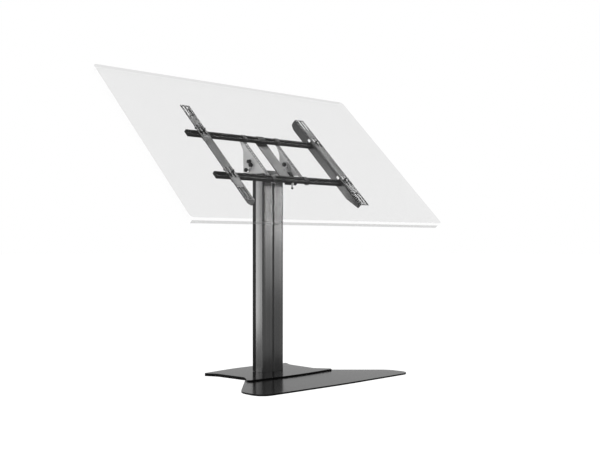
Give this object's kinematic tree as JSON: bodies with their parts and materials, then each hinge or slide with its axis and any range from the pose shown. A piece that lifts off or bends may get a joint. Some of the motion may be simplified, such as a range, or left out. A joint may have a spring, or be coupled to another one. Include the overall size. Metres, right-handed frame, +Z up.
{
  "type": "display stand",
  "caption": "Free-standing floor stand: a column on a splayed two-part base carries a wide flat screen on a head that tilts from table-flat to nearly upright.",
  "frame": {"origin": "on the floor under the column's axis", "axes": "+X to the screen's right seen from the front, +Y to the back, +Z up"},
  "size_m": [1.168, 0.5599, 1.0185],
  "materials": {
    "black_steel": "satin black powder coat",
    "dark_aluminium": "dark anodised, satin",
    "light_steel": "light grey, satin",
    "grey_steel": "mid grey powder coat",
    "zinc_steel": "zinc plated",
    "dark_screws": "black oxide",
    "black_plastic": "fine matt",
    "soft_rubber": "soft",
    "screen_front": null,
    "screen_back": null
  },
  "bodies": {
    "stand": {"front_base_plate": "black_steel", "rear_base_plate": "black_steel", "rear_base_packer_plate": "black_steel", "base_plate_screws": "zinc_steel", "column_foot_screws": "zinc_steel", "column_extrusion": "dark_aluminium", "front_slot_strip": "black_plastic", "rear_cable_cover": "black_plastic", "column_top_bracket": "light_steel", "bracket_screws": "zinc_steel", "pivot_bolts": "dark_screws", "pivot_nuts": "dark_screws"},
    "tilting_head": {"left_tilt_plate": "light_steel", "right_tilt_plate": "light_steel", "pivot_spacers": "black_plastic", "centre_brace_plate": "grey_steel", "stop_block": "black_plastic", "stop_post": "zinc_steel", "stop_tip": "soft_rubber", "cable_clip": "black_plastic", "upper_rail": "dark_aluminium", "lower_rail": "dark_aluminium", "rail_end_caps": "black_plastic", "rail_screws": "dark_screws", "clamp_nuts": "dark_screws", "plunger_body": "zinc_steel"},
    "left_clamp": {"left_clamp_knob": "black_plastic"},
    "right_clamp": {"right_clamp_knob": "black_plastic"},
    "index_plunger": {"plunger_pin": "zinc_steel", "plunger_grip": "black_plastic"},
    "screen_carrier": {"left_screen_arm": "grey_steel", "right_screen_arm": "grey_steel", "arm_clamp_plates": "black_steel", "arm_clamp_screws": "dark_screws", "screen_screws": "dark_screws", "screen_front_slab": "screen_front", "screen_back_slab": "screen_back"}
  },
  "joints": [
    {"name": "head_tilt", "type": "hinge", "parent": "stand", "child": "tilting_head", "pos_m": [0, -0.004, 0.7275], "axis": [1, 0, 0], "range_deg": [-45, 30]},
    {"name": "screen_side_shift", "type": "slide", "parent": "tilting_head", "child": "screen_carrier", "axis": [1, 0, 0], "range_m": [-0.02, 0.02]},
    {"name": "left_clamp_turn", "type": "hinge", "parent": "tilting_head", "child": "left_clamp", "pos_m": [-0.09, -0.0152, 0.71524], "axis": [-1, 0, 0], "range_deg": [0, 180]},
    {"name": "right_clamp_turn", "type": "hinge", "parent": "tilting_head", "child": "right_clamp", "pos_m": [0.09, -0.0152, 0.71524], "axis": [1, 0, 0], "range_deg": [0, 180]},
    {"name": "index_plunger_slide", "type": "slide", "parent": "tilting_head", "child": "index_plunger", "axis": [1, 0, 0], "range_m": [0, 0.0035]}
  ]
}
